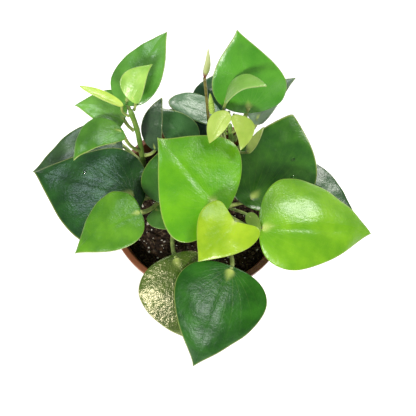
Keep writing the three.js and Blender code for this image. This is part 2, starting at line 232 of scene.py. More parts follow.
def turned_solid(profile, sides):
    """A closed solid of revolution: a (radius, height) profile turned about Z, whose first and last points
    lie on the axis and become poles. Returns points and faces."""
    turn = np.linspace(0, 2 * np.pi, sides, endpoint=False)
    radius, height = profile[1:-1, 0, None], profile[1:-1, 1, None]
    flat_height = np.broadcast_to(height, (len(profile) - 2, sides))
    rings = np.stack([radius * np.cos(turn), radius * np.sin(turn), flat_height], -1).reshape(-1, 3)
    poles = [(0, 0, profile[0, 1]), (0, 0, profile[-1, 1])]
    faces = [
        grid_faces(len(profile) - 2, sides),
        fan_faces(len(rings), 0, sides, outward=True),
        fan_faces(len(rings) + 1, len(rings) - sides, sides, outward=False),
    ]
    return np.vstack([rings, poles]), faces


inside_radius = pot_radius(FOOT_RECESS + WALL) - WALL
pot_profile = np.vstack([
    [(0, 0)],
    rounded([(0.001, 0), (PAD_RADIUS, 0), (PAD_RADIUS + 0.001, FOOT_RECESS),
             (BASE_RADIUS - FOOT_WIDTH - 0.001, FOOT_RECESS), (BASE_RADIUS - FOOT_WIDTH, 0), (BASE_RADIUS, 0),
             (pot_radius(RIM_Z - LIP_HEIGHT), RIM_Z - LIP_HEIGHT),
               (RIM_RADIUS - 0.0006, RIM_Z - LIP_HEIGHT + 0.001),
             (RIM_RADIUS, RIM_Z), (TOP_RADIUS - WALL, RIM_Z), (inside_radius, FOOT_RECESS + WALL),
             (0.001, FOOT_RECESS + WALL)], 0.0009),
    [(0, FOOT_RECESS + WALL)],
])


def link_noise(nodes, links, coordinates, scale, detail=4.0, roughness=0.55):
    """A noise texture on the given coordinates; returns its value socket."""
    noise = nodes.new("ShaderNodeTexNoise")
    noise.inputs["Scale"].default_value = scale
    noise.inputs["Detail"].default_value = detail
    noise.inputs["Roughness"].default_value = roughness
    links.new(coordinates, noise.inputs["Vector"])
    return noise.outputs["Fac"]


def link_ramp(nodes, links, value, stops):
    """A colour ramp over a value; stops are (place, colour)."""
    ramp = nodes.new("ShaderNodeValToRGB")
    while len(ramp.color_ramp.elements) < len(stops):
        ramp.color_ramp.elements.new(0.5)
    for element, (place, colour) in zip(ramp.color_ramp.elements, stops):
        element.position = place
        element.color = (*colour, 1.0)
    links.new(value, ramp.inputs["Fac"])
    return ramp.outputs["Color"]


def link_bump(nodes, links, shader, height, distance, strength=1.0):
    """A bump of the given height in metres on a shader's normal."""
    bump = nodes.new("ShaderNodeBump")
    bump.inputs["Distance"].default_value = distance
    bump.inputs["Strength"].default_value = strength
    links.new(height, bump.inputs["Height"])
    links.new(bump.outputs["Normal"], shader.inputs["Normal"])


pot_finish, nodes, links, shader = new_material("pot_brown_plastic")
shader.inputs["Roughness"].default_value = 0.42
place = nodes.new("ShaderNodeTexCoord").outputs["Object"]
mottle = link_noise(nodes, links, place, 60.0)
links.new(link_ramp(nodes, links, mottle, [(0.3, (0.17, 0.052, 0.022)), (0.7, (0.25, 0.085, 0.038))]),
          shader.inputs["Base Color"])
link_bump(nodes, links, shader, link_noise(nodes, links, place, 1800.0, 2.0), 0.00006)

pot = make_mesh("nursery_pot", *turned_solid(pot_profile, POT_SIDES), pot_finish)
drill_points = []
for hole in range(DRAIN_HOLES):
    turn = 2 * np.pi * hole / DRAIN_HOLES
    middle = np.array([DRAIN_CIRCLE * np.cos(turn), DRAIN_CIRCLE * np.sin(turn), 0])
    drill_points.append(tube(middle + np.array([(0, 0, -0.01), (0, 0, 0), (0, 0, 0.01)]), DRAIN_RADIUS, 24))
drills = make_mesh("drills", *join_shapes(*drill_points), pot_finish, smooth=False)
cut = pot.modifiers.new("drain_holes", "BOOLEAN")
cut.object = drills
cut.operation = "DIFFERENCE"
cut.solver = "EXACT"
bpy.context.view_layer.objects.active = pot
bpy.ops.object.modifier_apply(modifier=cut.name)
bpy.data.objects.remove(drills)
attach(pot, "root")
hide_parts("pot")


# ---------------------------------------------------------------- soil
# Dark peat that fills the pot to just under the lip. Its top is a crumbly height field; white perlite
# grains, loose crumbs and a few fibres lie on it.
SOIL_LOW, SOIL_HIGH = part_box("potting_soil")
SOIL_Z = SOIL_HIGH[2]
SOIL_RADIUS = SOIL_HIGH[0]
rng = np.random.default_rng(7)


def lumps(x, y, scale, count, seed):
    """A smooth uneven field of two parameters: a sum of plane waves whose directions and phases are drawn
    from a seeded generator and whose lengths are near the given scale. About -1 to 1."""
    draw = np.random.default_rng(seed)
    total = np.zeros(np.broadcast(x, y).shape)
    for heading, phase, stretch in zip(draw.uniform(0, 2 * np.pi, count), draw.uniform(0, 2 * np.pi, count),
                                       draw.uniform(0.6, 1.6, count)):
        wave = 2 * np.pi / (scale * stretch)
        total = total + np.sin(wave * (x * np.cos(heading) + y * np.sin(heading)) + phase)
    return total / np.sqrt(count)


def soil_height(x, y):
    """Height of the crumbly soil: broad mounds, crumbs and grit, flattened at the pot's wall."""
    from_middle = np.sqrt(x**2 + y**2) / SOIL_RADIUS
    crumbs = np.abs(lumps(x, y, 0.006, 10, 2)) * 0.0009 + np.abs(lumps(x, y, 0.0026, 12, 3)) * 0.0005
    return SOIL_Z - 0.0022 + 0.0007 * lumps(x, y, 0.03, 6, 1) + crumbs - 0.0012 * from_middle**6


turn = np.linspace(0, 2 * np.pi, 300, endpoint=False)
reach = np.linspace(0.004, 1, 90)[::-1, None]
top_x, top_y = SOIL_RADIUS * reach * np.cos(turn), SOIL_RADIUS * reach * np.sin(turn)
soil_top = np.stack([top_x, top_y, soil_height(top_x, top_y)], -1)
low_radius = SOIL_RADIUS - (SOIL_Z - SOIL_LOW[2]) * (TOP_RADIUS - BASE_RADIUS) / RIM_Z - 0.001
soil_foot = np.stack([low_radius * np.cos(turn), low_radius * np.sin(turn),
                      np.full_like(turn, SOIL_LOW[2])], -1)
soil_points = np.vstack([soil_foot, soil_top.reshape(-1, 3), (0, 0, SOIL_LOW[2]), (0, 0, soil_height(0, 0))])
soil_rings = 1 + len(reach)
soil_faces = [
    grid_faces(soil_rings, len(turn)),
    fan_faces(len(soil_points) - 2, 0, len(turn), outward=True),
    fan_faces(len(soil_points) - 1, (soil_rings - 1) * len(turn), len(turn), outward=False),
]
soil_finish, nodes, links, shader = new_material("peat")
shader.inputs["Roughness"].default_value = 0.95
shader.inputs["Specular IOR Level"].default_value = 0.25
place = nodes.new("ShaderNodeTexCoord").outputs["Object"]
grain = link_noise(nodes, links, place, 420.0, 8.0, 0.7)
links.new(link_ramp(nodes, links, grain, [(0.32, (0.006, 0.004, 0.003)), (0.5, (0.022, 0.012, 0.007)),
                                          (0.62, (0.065, 0.036, 0.018)), (0.75, (0.15, 0.095, 0.05))]),
          shader.inputs["Base Color"])
link_bump(nodes, links, shader, grain, 0.0012)
soil = make_mesh("peat_soil", soil_points, soil_faces, soil_finish)
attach(soil, "root")
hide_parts("potting_soil")


def scattered_stones(centres, sizes, seed, rows=5, columns=7):
    """Many small irregular stones as one shape: each is a sphere grid whose radius is uneven and whose three
    axes are stretched and turned by seeded draws."""
    draw = np.random.default_rng(seed)
    polar = np.linspace(0, np.pi, rows + 2)[1:-1, None]
    turn = np.linspace(0, 2 * np.pi, columns, endpoint=False)
    ball = np.stack([np.sin(polar) * np.cos(turn), np.sin(polar) * np.sin(turn),
                     np.cos(polar) * np.ones(columns)], -1).reshape(-1, 3)
    ball = np.vstack([ball, (0, 0, 1), (0, 0, -1)])
    count = len(centres)
    uneven = 1 + draw.uniform(-0.22, 0.22, (count, len(ball), 1))
    stretch = draw.uniform(0.65, 1.25, (count, 1, 3))
    turns = np.linalg.qr(draw.normal(size=(count, 3, 3)))[0]
    turns *= np.sign(np.linalg.det(turns))[:, None, None]
    stones = np.einsum("nij,npj->npi", turns, ball * uneven * stretch) * np.asarray(sizes)[:, None, None]
    points = (stones + np.asarray(centres)[:, None]).reshape(-1, 3)
    faces = [
        grid_faces(rows, columns)[:, ::-1],
        fan_faces(rows * columns, 0, columns, outward=False),
        fan_faces(rows * columns + 1, (rows - 1) * columns, columns, outward=True),
    ]
    shift = (np.arange(count) * len(ball))[:, None, None]
    return points, [(group[None] + shift).reshape(-1, group.shape[1]) for group in faces]


def soil_places(count, spread=0.95, lift=0.0):
    """Random places on the soil's top, even over its area."""
    radius = SOIL_RADIUS * spread * np.sqrt(rng.uniform(0, 1, count))
    turn = rng.uniform(0, 2 * np.pi, count)
    x, y = radius * np.cos(turn), radius * np.sin(turn)
    return np.stack([x, y, soil_height(x, y) + lift], -1)


def plain_finish(name, low, high, scale, roughness, bump=0.0002):
    """A rough two-tone finish: noise between two colours, with a matching bump."""
    material, nodes, links, shader = new_material(name)
    shader.inputs["Roughness"].default_value = roughness
    place = nodes.new("ShaderNodeTexCoord").outputs["Object"]
    noise = link_noise(nodes, links, place, scale)
    links.new(link_ramp(nodes, links, noise, [(0.35, low), (0.65, high)]), shader.inputs["Base Color"])
    link_bump(nodes, links, shader, noise, bump)
    return material


perlite_finish = plain_finish("perlite_white", (0.42, 0.40, 0.34), (0.75, 0.73, 0.66), 700.0, 0.9)
crumb_finish = plain_finish("peat_crumbs", (0.015, 0.010, 0.007), (0.10, 0.062, 0.036), 260.0, 0.95)
fibre_finish = plain_finish("peat_fibres", (0.06, 0.040, 0.020), (0.17, 0.12, 0.065), 300.0, 0.9)

PERLITE_COUNT, CRUMB_COUNT, FIBRE_COUNT = 300, 900, 60
perlite_places = soil_places(PERLITE_COUNT, 0.95)
perlite_sizes = rng.uniform(0.0003, 0.0009, PERLITE_COUNT)
perlite = make_mesh("perlite_grains", *scattered_stones(perlite_places, perlite_sizes, 11),
                    perlite_finish, smooth=False)
crumb_places = soil_places(CRUMB_COUNT, 0.97)
crumb_sizes = rng.uniform(0.0005, 0.0015, CRUMB_COUNT)
crumbs = make_mesh("soil_crumbs", *scattered_stones(crumb_places, crumb_sizes, 12),
                   crumb_finish, smooth=False)

fibres = []
fibre_feet = soil_places(FIBRE_COUNT, 0.9, 0.0006)
fibre_headings = rng.uniform(0, 2 * np.pi, FIBRE_COUNT)
fibre_lengths = rng.uniform(0.004, 0.012, FIBRE_COUNT)
for foot, heading, length in zip(fibre_feet, fibre_headings, fibre_lengths):
    along = np.array([np.cos(heading), np.sin(heading), 0]) * length
    bow = np.array([-along[1], along[0], 0.0]) * rng.uniform(-0.3, 0.3)
    bend = smooth_path([foot, foot + along * 0.5 + bow + (0, 0, 0.0007), foot + along], 7)
    bend[:, 2] = np.maximum(bend[:, 2], soil_height(bend[:, 0], bend[:, 1]) + 0.0002)
    fibres.append(tube(bend, 0.00013, 4))
fibres = make_mesh("soil_fibres", *join_shapes(*fibres), fibre_finish)
for scrap in (perlite, crumbs, fibres):
    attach(scrap, "root")


# ---------------------------------------------------------------- stems
# Four fleshy upright stems, about 4 mm thick, green and a little swollen at each joint where a petiole
# leaves. Each runs from its foot in the soil to its growing tip.
STEM_RADIUS = 0.0019
STEM_PATHS = {
    "left": [(-0.038, 0.027, 0.070), (-0.038, 0.027, 0.100), (-0.036, 0.023, 0.150), (-0.037, 0.022, 0.178)],
    "right": [(0.020, 0.021, 0.070), (0.020, 0.022, 0.100), (0.020, 0.024, 0.130), (0.018, 0.026, 0.154)],
    "front": [(0.009, -0.008, 0.070), (0.009, -0.008, 0.100), (0.011, -0.011, 0.128)],
    "middle": [(-0.017, 0.004, 0.070), (-0.017, 0.004, 0.096), (-0.019, 0.003, 0.116)],
}
JOINT_SPACING = 0.017
STEM_SIDES = 24


def stem_radii(path, radius):
    """Radius along a stem: tapering a little upwards, with a low ring at each joint and a rounded tip."""
    steps = np.linalg.norm(np.diff(path, axis=0), axis=1)
    run = np.concatenate([[0], np.cumsum(steps)])
    joints = 0.10 * np.exp(-(((run / JOINT_SPACING + 0.5) % 1 - 0.5) / 0.10) ** 2)
    taper = 1 - 0.18 * run / run[-1]
    tip = np.sqrt(np.clip(1 - ((run - run[-1] + radius) / radius).clip(0, 1) ** 2, 0.02, 1))
    return radius * 0.95 * (taper + joints) * tip


stem_finish, nodes, links, shader = new_material("stem_flesh")
shader.inputs["Roughness"].default_value = 0.4
place = nodes.new("ShaderNodeTexCoord").outputs["Object"]
streaks = nodes.new("ShaderNodeMapping")
streaks.inputs["Scale"].default_value = (1.0, 1.0, 0.25)
links.new(place, streaks.inputs["Vector"])
streak = link_noise(nodes, links, streaks.outputs["Vector"], 260.0)
links.new(link_ramp(nodes, links, streak, [(0.3, (0.075, 0.17, 0.02)), (0.55, (0.13, 0.25, 0.04)),
                                           (0.85, (0.22, 0.24, 0.06))]), shader.inputs["Base Color"])
link_bump(nodes, links, shader, streak, 0.0002)

for stem_name, stem_points in STEM_PATHS.items():
    stem_path = smooth_path(stem_points, 90)
    stem_shape = tube(stem_path, stem_radii(stem_path, STEM_RADIUS), STEM_SIDES)
    stem = make_mesh(f"{stem_name}_stem", *stem_shape, stem_finish)
    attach(stem, "root")
    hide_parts(f"stem_{stem_name}")


# ---------------------------------------------------------------- flower stalk, sheath and spike
# A thin olive-brown stalk rises from the soil behind the centre and ends in a closed pale sheath with a
# dark red mark at its foot. A short beaded spike stands on the right stem.
STALK_STEPS = 60
STALK_PATH = smooth_path([(0.005, 0.038, 0.070), (0.0065, 0.039, 0.110), (0.005, 0.041, 0.150),
                          (0.0035, 0.042, 0.178)], STALK_STEPS)
stalk_finish = plain_finish("stalk_olive", (0.10, 0.085, 0.02), (0.22, 0.19, 0.045), 300.0, 0.45, 0.0001)
stalk_shape = tube(STALK_PATH, np.linspace(0.0012, 0.0009, STALK_STEPS), 16)
stalk = make_mesh("bare_flower_stalk", *stalk_shape, stalk_finish)
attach(stalk, "root")
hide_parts("flower_stalk")

SHEATH_FOOT = np.array((0.0035, 0.0422, 0.1784))
SHEATH_TIP = np.array((0.0055, 0.044, 0.204))
SHEATH_RADIUS = 0.0017
SHEATH_BOW = 0.0006
along = np.linspace(0, 1, 60)
sheath_path = SHEATH_FOOT + (SHEATH_TIP - SHEATH_FOOT) * along[:, None]
sheath_path += np.outer(np.sin(np.pi * along), (SHEATH_BOW, 0, 0))
sheath_turn = np.linspace(0, 2 * np.pi, 28, endpoint=False)
sheath_folds = 1 + 0.10 * np.cos(3 * sheath_turn + 5 * along[:, None])
sheath_width = SHEATH_RADIUS * (np.sin(np.pi * along**0.6)[:, None] ** 0.9 + 0.02) * sheath_folds
sheath_finish, nodes, links, shader = new_material("sheath_pale_green")
shader.inputs["Roughness"].default_value = 0.4
place = nodes.new("ShaderNodeTexCoord").outputs["Object"]
height = nodes.new("ShaderNodeSeparateXYZ")
links.new(place, height.inputs["Vector"])
rise = nodes.new("ShaderNodeMapRange")
rise.inputs["From Min"].default_value = SHEATH_FOOT[2]
rise.inputs["From Max"].default_value = SHEATH_TIP[2]
links.new(height.outputs["Z"], rise.inputs["Value"])
sheath_colours = [(0.0, (0.10, 0.012, 0.01)), (0.14, (0.16, 0.03, 0.02)),
                  (0.26, (0.34, 0.40, 0.14)), (1.0, (0.48, 0.52, 0.26))]
links.new(link_ramp(nodes, links, rise.outputs["Result"], sheath_colours), shader.inputs["Base Color"])
sheath = make_mesh("closed_flower_sheath", *tube(sheath_path, sheath_width, 28), sheath_finish)
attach(sheath, "root")
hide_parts("flower_sheath")

SPIKE_RADIUS = 0.0018
BEAD_ROWS = 13
spike_stalk = smooth_path([(0.017, 0.0264, 0.140), (0.0125, 0.032, 0.142), (0.009, 0.035, 0.147),
                           (0.008, 0.036, 0.153)], 24)
bead_along = np.linspace(0, 1, 80)
bead_turn = np.linspace(0, 2 * np.pi, 32, endpoint=False)
spike_path = np.array((0.008, 0.036, 0.150)) + np.outer(bead_along, (-0.0015, 0.001, 0.020))
bead_rows = np.sin(BEAD_ROWS * np.pi * bead_along[:, None])
bead_columns = np.cos(3 * bead_turn + np.pi * np.floor(BEAD_ROWS * bead_along)[:, None] / 2)
beads = np.abs(bead_rows * bead_columns)
spike_taper = np.sin(np.pi * (0.05 + 0.95 * bead_along[:, None]) ** 0.5).clip(0.02) ** 0.6
spike_width = SPIKE_RADIUS * spike_taper * (0.86 + 0.25 * beads)
spike_finish = plain_finish("spike_beads", (0.26, 0.42, 0.04), (0.42, 0.58, 0.12), 900.0, 0.6)
spike_shape = join_shapes(tube(spike_stalk, 0.0007, 12), tube(spike_path, spike_width, 32))
spike = make_mesh("beaded_flower_spike", *spike_shape, spike_finish)
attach(spike, "root")
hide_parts("flower_spike")


# ---------------------------------------------------------------- how a leaf grows
# Every leaf is one piece: a thick fleshy blade with a drawn-out tip, and the round petiole that carries it.
# A leaf is given by its junction and tip and by how wide, arched, cupped and turned its blade is.
DRIP_ANGLE = 0.9
GROOVE_DEPTH = 0.0005
GROOVE_WIDTH = 0.0022
NOTCH_ANGLE = 0.5
GAP = 0.00035


def margin_profile(angle, leaf):
    """Half-width round the blade, unscaled: the sine of the angle, times the sine of half of it to the power
    `point` (a teardrop), thinned near angle 0 by the share `drip` so that the tip is drawn out."""
    thinning = 1 - leaf["drip"] * np.exp(-((angle / DRIP_ANGLE) ** 2))
    return np.sin(angle) * np.abs(np.sin(angle / 2)) ** leaf["point"] * thinning


def blade_margin(angle, leaf, length):
    """Flat margin round the junction: angle 0 is the tip, half a turn is behind the junction. Along, a cosine
    between the back and the tip, pushed in behind by the notch; across, the profile scaled to each half's
    width; and skewed."""
    widest = margin_profile(np.linspace(0, np.pi, 201), leaf).max()
    y = np.where(angle >= 0, leaf["left"], leaf["right"]) * margin_profile(angle, leaf) / widest
    behind = np.pi - np.abs(angle)
    x = -leaf["back"] + (length + leaf["back"]) * (1 + np.cos(angle)) / 2
    x = x + leaf["notch"] * np.exp(-((behind / NOTCH_ANGLE) ** 2)) - leaf["skew"] * y
    return x, y


def leaf_axes(leaf):
    """The blade's own directions (along, side, face) and its chord. Face is up, made square to the chord and
    turned about it by the roll."""
    along = leaf["tip"] - leaf["junction"]
    chord = np.linalg.norm(along)
    along = along / chord
    face = np.array((0, 0, 1.0)) - along * along[2]
    face /= np.linalg.norm(face)
    side = np.cross(face, along)
    roll = np.radians(leaf["roll"])
    return along, side * np.cos(roll) - face * np.sin(roll), face * np.cos(roll) + side * np.sin(roll), chord


def blade_surface(leaf, reach, angle, lift):
    """Points of the blade at reach (0 junction, 1 margin) and angle, lifted square to it. The midrib is an arc
    of a circle through `arch`; the blade bends across it, evenly, through `cup` on each side. Undulation and
    the grooves over the veins are added to the lift."""
    along, side, face, chord = leaf_axes(leaf)
    arch, cup = np.radians(leaf["arch"]), np.radians(leaf["cup"])
    arch_radius = chord / (2 * np.sin(arch / 2))
    length = arch_radius * arch
    half_width = (leaf["left"] + leaf["right"]) / 2
    flat_x, flat_y = blade_margin(angle, leaf, length)
    x = reach * flat_x
    part = np.clip(x / length, 0, 1)
    y = reach * flat_y + leaf["sweep"] * 4 * part * (1 - part)
    size = half_width / 0.03
    waves = leaf["wave"] * size * lumps(x, y, 0.022 * max(size, 0.5), 6, leaf["seed"]) * reach
    curl = leaf["curl"] * half_width * reach**4 * np.sin(3 * angle + leaf["seed"])
    groove = -GROOVE_DEPTH * size * np.exp(-((y / (GROOVE_WIDTH * size)) ** 2))
    groove = groove * np.clip(4 * reach, 0, 1) * (1 - reach**3)
    lift = lift + waves + curl + groove
    slope = arch * (0.5 - part)
    rib_x = np.where(x < 0, np.cos(slope) * x, arch_radius * (np.sin(arch / 2) - np.sin(slope)))
    rib_z = np.where(x < 0, np.sin(slope) * x, arch_radius * (np.cos(slope) - np.cos(arch / 2)))
    bend = cup * np.abs(y) / half_width
    across = np.sign(y) * (half_width * np.sin(bend) / cup - lift * np.sin(bend))
    rise = half_width * (1 - np.cos(bend)) / cup + lift * np.cos(bend)
    return (leaf["junction"] + (rib_x - np.sin(slope) * rise)[..., None] * along
            + across[..., None] * side + (rib_z + np.cos(slope) * rise)[..., None] * face)


def blade_solid(leaf):
    """A closed blade: rings round the junction from the pole out to the margin on top, over the rounded edge,
    and back to a pole underneath. Also returns reach and turn (angle without its sign) for the finish."""
    rings, spokes = leaf["rings"], leaf["spokes"]
    inner = np.linspace(0, 1, rings + 1)[1:] ** 0.85
    inner = np.append(inner[:-1] * 0.985, [0.985, 0.996])
    half = leaf["thickness"] / 2
    fall = np.where(inner > 0.98, 0.35, 0.0)
    reach = np.concatenate([inner, [1.0], inner[::-1]])[:, None]
    lift = np.concatenate([-half * fall, [-half], -2 * half + half * fall[::-1]])[:, None]
    angle = np.pi - 2 * np.pi * (np.arange(spokes) + 1) / spokes
    points = blade_surface(leaf, reach, angle, lift).reshape(-1, 3)
    poles = blade_surface(leaf, np.zeros(2), np.zeros(2), np.array([0, -2 * half]))
    count = len(points)
    faces = [
        grid_faces(len(reach), spokes),
        fan_faces(count, 0, spokes, outward=True),
        fan_faces(count + 1, count - spokes, spokes, outward=False),
    ]
    along_reach = np.append(np.broadcast_to(reach, (len(reach), spokes)).ravel(), [0, 0])
    along_turn = np.append(np.broadcast_to(np.abs(angle) / np.pi, (len(reach), spokes)).ravel(), [0, 0])
    return np.vstack([points, poles]), faces, along_reach, along_turn


def math_node(nodes, links, operation, first, second=None):
    """One arithmetic node on sockets or numbers; returns its value socket."""
    node = nodes.new("ShaderNodeMath")
    node.operation = operation
    for slot, value in enumerate((first, second)):
        if value is None:
            continue
        if isinstance(value, (int, float)):
            node.inputs[slot].default_value = value
        else:
            links.new(value, node.inputs[slot])
    return node.outputs["Value"]


def smooth_range(nodes, links, value, low, high, to_low=0.0, to_high=1.0):
    """A smooth step of a value between two places."""
    node = nodes.new("ShaderNodeMapRange")
    node.interpolation_type = "SMOOTHSTEP"
    node.inputs["To Min"].default_value = to_low
    node.inputs["To Max"].default_value = to_high
    links.new(value, node.inputs["Value"])
    for name, place in (("From Min", low), ("From Max", high)):
        if isinstance(place, (int, float)):
            node.inputs[name].default_value = place
        else:
            links.new(place, node.inputs[name])
    return node.outputs["Result"]


def mix_colour(nodes, links, factor, first, second):
    """A blend of two colour sockets by a factor socket."""
    node = nodes.new("ShaderNodeMix")
    node.data_type = "RGBA"
    links.new(factor, node.inputs["Factor"])
    links.new(first, node.inputs["A"])
    links.new(second, node.inputs["B"])
    return node.outputs["Result"]


def build_leaf_skin():
    """The shared leaf effect. Veins fan out from the junction and lean towards the tip; the junction, the
    veins and the thin margin line are pale; the green is mottled; the skin is finely quilted; the underside
    is duller. It gives a colour, a roughness and a height."""
    group = bpy.data.node_groups.new("leaf_skin", "ShaderNodeTree")
    for name, kind in (("Deep", "NodeSocketColor"), ("Light", "NodeSocketColor"), ("Pale", "NodeSocketColor"),
                       ("Edge", "NodeSocketColor"), ("Under", "NodeSocketColor"), ("Veins", "NodeSocketFloat"),
                       ("Gloss", "NodeSocketFloat")):
        group.interface.new_socket(name, in_out="INPUT", socket_type=kind)
    for name, kind in (("Color", "NodeSocketColor"), ("Roughness", "NodeSocketFloat"),
                       ("Height", "NodeSocketFloat")):
        group.interface.new_socket(name, in_out="OUTPUT", socket_type=kind)
    nodes, links = group.nodes, group.links
    given = nodes.new("NodeGroupInput").outputs
    result = nodes.new("NodeGroupOutput").inputs

    def attribute(name):
        node = nodes.new("ShaderNodeAttribute")
        node.attribute_name = name
        return node.outputs["Fac"]

    reach, turn, under = attribute("reach"), attribute("turn"), attribute("under")
    place = nodes.new("ShaderNodeTexCoord").outputs["Object"]
    lean = math_node(nodes, links, "SUBTRACT", 1.0, math_node(nodes, links, "MULTIPLY", reach, 0.25))
    phase = math_node(nodes, links, "MULTIPLY", math_node(nodes, links, "DIVIDE", turn, lean), 9.0)
    wobble = math_node(nodes, links, "MULTIPLY", link_noise(nodes, links, place, 90.0, 2.0), 0.25)
    phase = math_node(nodes, links, "ADD", phase, wobble)
    saw = math_node(nodes, links, "FRACT", math_node(nodes, links, "ADD", phase, 0.375))
    off_vein = math_node(nodes, links, "ABSOLUTE", math_node(nodes, links, "SUBTRACT", saw, 0.5))
    width = math_node(nodes, links, "DIVIDE", 0.045, math_node(nodes, links, "ADD", reach, 0.10))
    vein = math_node(nodes, links, "SUBTRACT", 1.0, smooth_range(nodes, links, off_vein, 0.0, width))
    fade = smooth_range(nodes, links, reach, 0.10, 0.9, 1.0, 0.2)
    vein = math_node(nodes, links, "MULTIPLY", vein, fade)

    mottle = smooth_range(nodes, links, link_noise(nodes, links, place, 70.0, 5.0), 0.25, 0.80)
    colour = mix_colour(nodes, links, mottle, given["Deep"], given["Light"])
    heart = smooth_range(nodes, links, reach, 0.0, 0.14, 0.85, 0.0)
    colour = mix_colour(nodes, links, heart, colour, given["Pale"])
    shown = math_node(nodes, links, "MULTIPLY", vein, given["Veins"])
    colour = mix_colour(nodes, links, shown, colour, given["Pale"])
    edge = smooth_range(nodes, links, reach, 0.972, 0.992, 0.0, 0.5)
    colour = mix_colour(nodes, links, edge, colour, given["Edge"])
    dull = math_node(nodes, links, "MULTIPLY", under, 0.85)
    links.new(mix_colour(nodes, links, dull, colour, given["Under"]), result["Color"])

    quilt = link_noise(nodes, links, place, 420.0, 3.0, 0.5)
    fine = link_noise(nodes, links, place, 1500.0, 2.0, 0.5)
    skin = math_node(nodes, links, "ADD", math_node(nodes, links, "MULTIPLY", quilt, 0.75),
                     math_node(nodes, links, "MULTIPLY", fine, 0.25))
    dented = math_node(nodes, links, "SUBTRACT", skin, math_node(nodes, links, "MULTIPLY", vein, 0.08))
    links.new(dented, result["Height"])
    rough = math_node(nodes, links, "ADD", given["Gloss"], math_node(nodes, links, "MULTIPLY", fine, 0.12))
    links.new(math_node(nodes, links, "ADD", rough, math_node(nodes, links, "MULTIPLY", under, 0.25)),
              result["Roughness"])
    return group


leaf_skin = build_leaf_skin()


def leaf_finish(name, deep, light, pale, edge, veins, gloss, quilting, specular, shine):
    """A leaf's own material: the shared skin in this leaf's greens, on a glossy shader."""
    material, nodes, links, shader = new_material(name)
    skin = nodes.new("ShaderNodeGroup")
    skin.node_tree = leaf_skin
    under = tuple(0.55 * a + 0.45 * b for a, b in zip(light, (0.20, 0.28, 0.17)))
    for slot, colour in (("Deep", deep), ("Light", light), ("Pale", pale), ("Edge", edge), ("Under", under)):
        skin.inputs[slot].default_value = (*colour, 1.0)
    skin.inputs["Veins"].default_value = veins
    skin.inputs["Gloss"].default_value = gloss
    links.new(skin.outputs["Color"], shader.inputs["Base Color"])
    links.new(skin.outputs["Roughness"], shader.inputs["Roughness"])
    shader.inputs["Specular IOR Level"].default_value = specular
    shader.inputs["Specular Tint"].default_value = (*shine, 1.0)
    shader.inputs["Subsurface Weight"].default_value = 0.06
    shader.inputs["Subsurface Radius"].default_value = (0.4, 1.0, 0.15)
    shader.inputs["Subsurface Scale"].default_value = 0.0015
    link_bump(nodes, links, shader, skin.outputs["Height"], 0.0006, quilting)
    return material


petiole_finish = plain_finish("petiole_pale_green", (0.16, 0.24, 0.05), (0.30, 0.36, 0.10),
                              240.0, 0.4, 0.0001)
PETIOLE_STEPS = 28
PETIOLE_SIDES = 16


def petiole_path(leaf):
    """A cubic curve from the stem's surface, outwards and `leave` degrees upwards, to the underside of the
    junction."""
    along, side, face, chord = leaf_axes(leaf)
    start_slope = np.radians(leaf["arch"]) / 2
    rib = along * np.cos(start_slope) + face * np.sin(start_slope)
    square = face * np.cos(start_slope) - along * np.sin(start_slope)
    stem_path = smooth_path(STEM_PATHS[leaf["stem"]], 200)
    anchor = stem_path[np.argmin(np.abs(stem_path[:, 2] - leaf["height"]))]
    end = leaf["junction"] - square * leaf["thickness"] * 0.5
    out = (end - anchor) * (1, 1, 0)
    out /= np.linalg.norm(out)
    start = anchor + out * (STEM_RADIUS + GAP + leaf["petiole"] * 0.6)
    leave = np.radians(leaf["leave"])
    leaving = out * np.cos(leave) + np.array((0, 0, 1.0)) * np.sin(leave)
    arriving = square * 0.8 + rib * 0.5 if leaf["rise"] is None else np.array(leaf["rise"], dtype=float)
    arriving = arriving / np.linalg.norm(arriving)
    span = np.linalg.norm(end - start)
    t = np.linspace(0, 1, PETIOLE_STEPS)[:, None]
    near_start, near_end = start + 0.4 * span * leaving, end - 0.35 * span * arriving
    sunk = start - out * GAP * 2
    first_half = (1 - t) ** 3 * sunk + 3 * (1 - t) ** 2 * t * near_start
    return first_half + 3 * (1 - t) * t**2 * near_end + t**3 * end


LEAF_DEFAULTS = {
    "back": 0.003, "notch": 0.0, "sweep": 0.0, "skew": 0.0, "point": 1.0, "drip": 0.35, "arch": 10, "cup": -10,
    "roll": 0, "leave": 30, "rings": 26, "spokes": 120, "thickness": 0.0014, "petiole": 0.0015, "rise": None,
    "wave": 0.0004, "curl": 0.03, "seed": 1, "veins": 0.07, "gloss": 0.24, "quilting": 0.5, "specular": 0.5,
    "shine": (1.0, 1.0, 1.0),
}


def srgb(red, green, blue):
    """A colour given in display units of 0 to 255, as linear light."""
    return tuple(((np.array((red, green, blue)) / 255) ** 2.2).tolist())


LEAF_PALE = srgb(168, 186, 96)
LEAF_EDGE = srgb(150, 160, 84)


